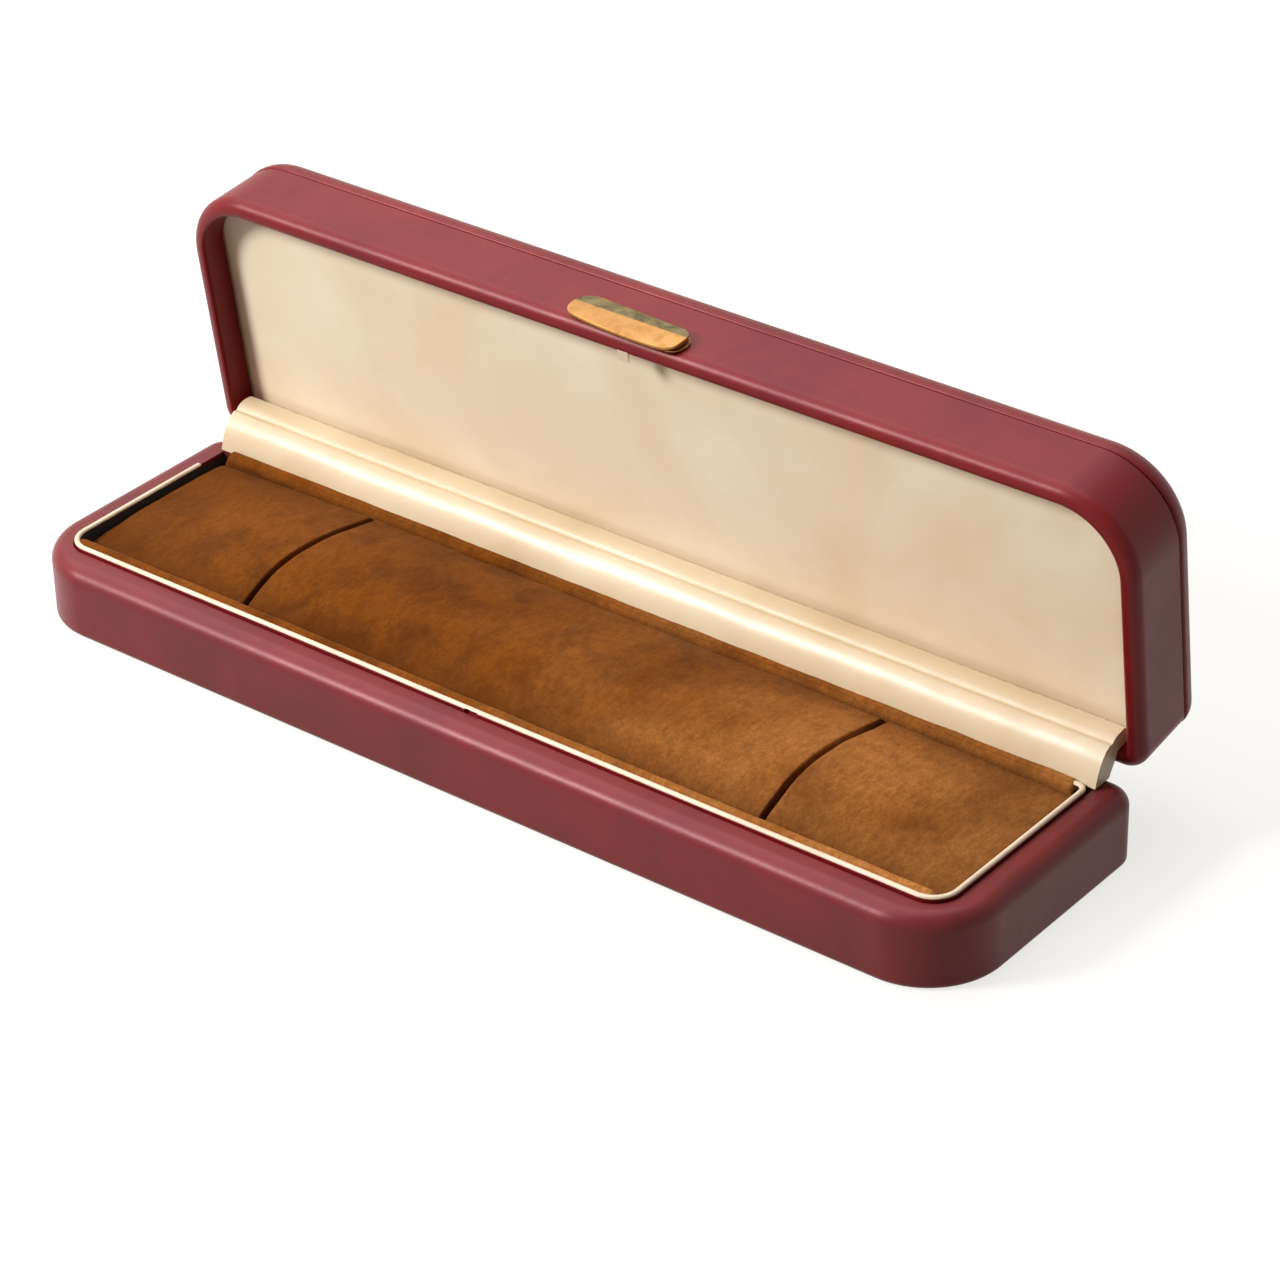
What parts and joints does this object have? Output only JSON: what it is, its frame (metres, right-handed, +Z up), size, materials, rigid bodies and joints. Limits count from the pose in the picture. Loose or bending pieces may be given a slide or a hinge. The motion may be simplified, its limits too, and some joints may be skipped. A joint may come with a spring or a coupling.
{
  "type": "travel jewelry box",
  "caption": "Long slim leather-covered bracelet case with a hinged lid, velvet pads, satin lining and a push-button catch.",
  "frame": {"origin": "middle of the flat underside that the case rests on", "axes": "+X along the length, to the right of someone facing the opening; +Y to the hinge; +Z up"},
  "size_m": [0.2384, 0.0852, 0.0816],
  "materials": {
    "red_leather": "burgundy, semi-gloss",
    "bare_wood": "bare",
    "foot_paper": "matte burgundy",
    "cream_card": "smooth cream covering",
    "grey_board": "bare",
    "brown_velvet": "velvet pile",
    "cream_satin": "satin",
    "gilt_brass": "polished, slightly tarnished",
    "spring_steel": "plain"
  },
  "bodies": {
    "base": {"base_shell": "bare_wood", "base_leather": "red_leather", "base_foot_panel": "foot_paper", "base_collar": "cream_card", "pad_board": "grey_board", "pad_left": "brown_velvet", "pad_centre": "brown_velvet", "pad_right": "brown_velvet", "pad_back_welt": "brown_velvet", "pad_front_welt": "brown_velvet", "hinge_leaf_base": "spring_steel", "hinge_pin": "spring_steel", "hinge_cover": "cream_satin", "hinge_spine": "red_leather"},
    "lid": {"lid_shell": "bare_wood", "lid_side_leather": "red_leather", "lid_top_leather": "red_leather", "lid_panel_board": "grey_board", "lid_satin_panel": "cream_satin", "hinge_leaf_lid": "spring_steel", "button_escutcheon": "gilt_brass", "catch_axle": "spring_steel", "catch_spring": "spring_steel", "catch_cover": "spring_steel"},
    "button": {"button": "gilt_brass"},
    "catch": {"catch_lever": "spring_steel"}
  },
  "joints": [
    {"name": "lid_hinge", "type": "hinge", "parent": "base", "child": "lid", "pos_m": [0, 0.0326, 0.01635], "axis": [1, 0, 0], "range_deg": [-7.5, 82.5], "deforming": ["hinge_cover", "hinge_spine"]},
    {"name": "button_press", "type": "slide", "parent": "lid", "child": "button", "axis": [0, 0.1305, -0.9914], "range_m": [0, 0.0004], "stiffness_N_per_m": 2500},
    {"name": "catch_turn", "type": "hinge", "parent": "lid", "child": "catch", "pos_m": [0, 0.02759, 0.07701], "axis": [-1, 0, 0], "range_deg": [0, 10], "deforming": ["catch_spring"]}
  ],
  "couplings": [
    {"joint": "catch_turn", "follows": "button_press", "rad_per_m": 416.67}
  ]
}
